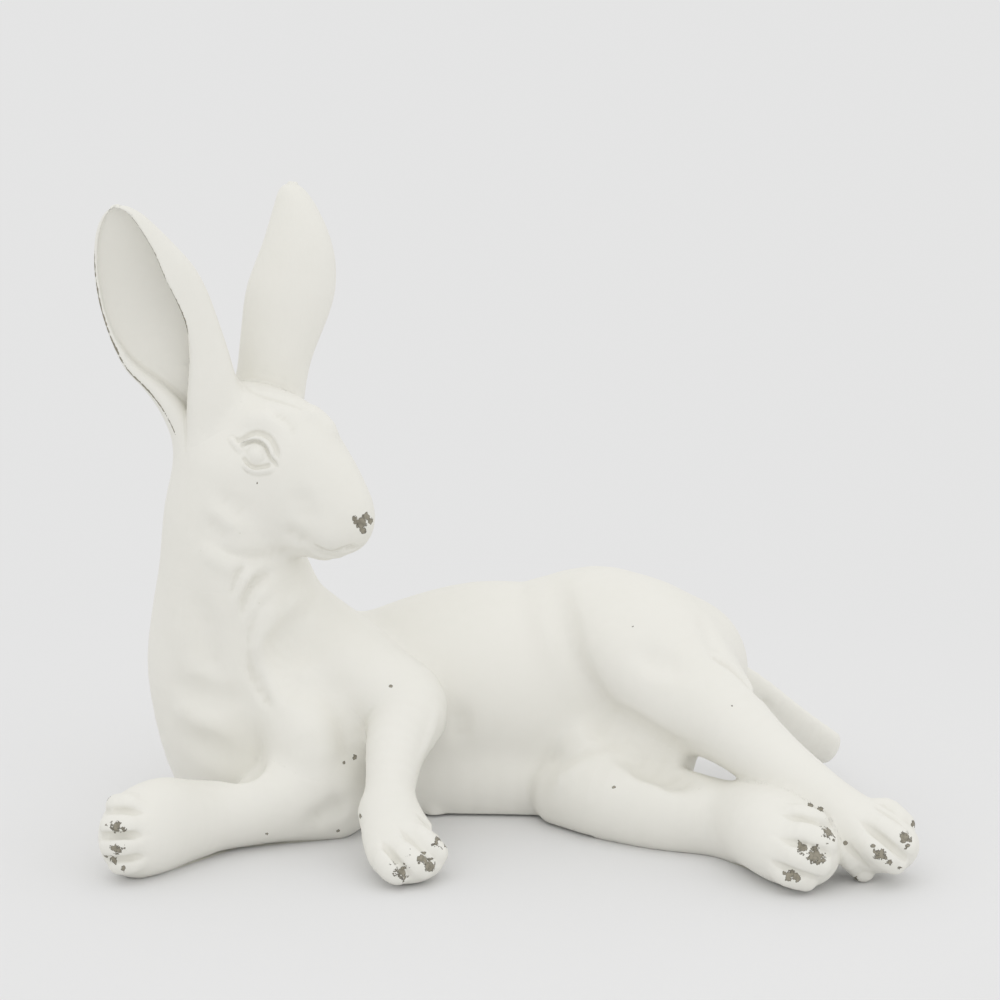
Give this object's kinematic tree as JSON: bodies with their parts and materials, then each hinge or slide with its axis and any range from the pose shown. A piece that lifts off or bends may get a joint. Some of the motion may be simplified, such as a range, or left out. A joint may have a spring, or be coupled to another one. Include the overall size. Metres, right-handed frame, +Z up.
{
  "type": "hare figurine",
  "caption": "Reclining hare ornament in distressed off-white paint, head turned back, long ears upright, resting on its side on a flat base.",
  "frame": {"origin": "on the surface it stands on, under the middle of the figure's box", "axes": "+X along the body from the head end to the hind paws, +Y from the belly to the back, +Z up"},
  "size_m": [0.4878, 0.2598, 0.3934],
  "materials": {
    "paint": "matte off-white paint, rubbed through to dark grey-brown on claws, nose and ear rims",
    "plate": "matte off-white moulded closing plate",
    "steel": "plain drawn steel",
    "felt": "dark grey felt"
  },
  "bodies": {
    "root": {"body_shell": "paint", "head": "paint", "left_ear": "paint", "right_ear": "paint", "left_foreleg": "paint", "right_foreleg": "paint", "left_hind_leg": "paint", "right_hind_leg": "paint", "tail": "paint", "base_plate": "plate", "limb_dowels": "steel", "ear_pins": "steel", "tail_pin": "steel", "felt_pads": "felt"}
  },
  "joints": []
}
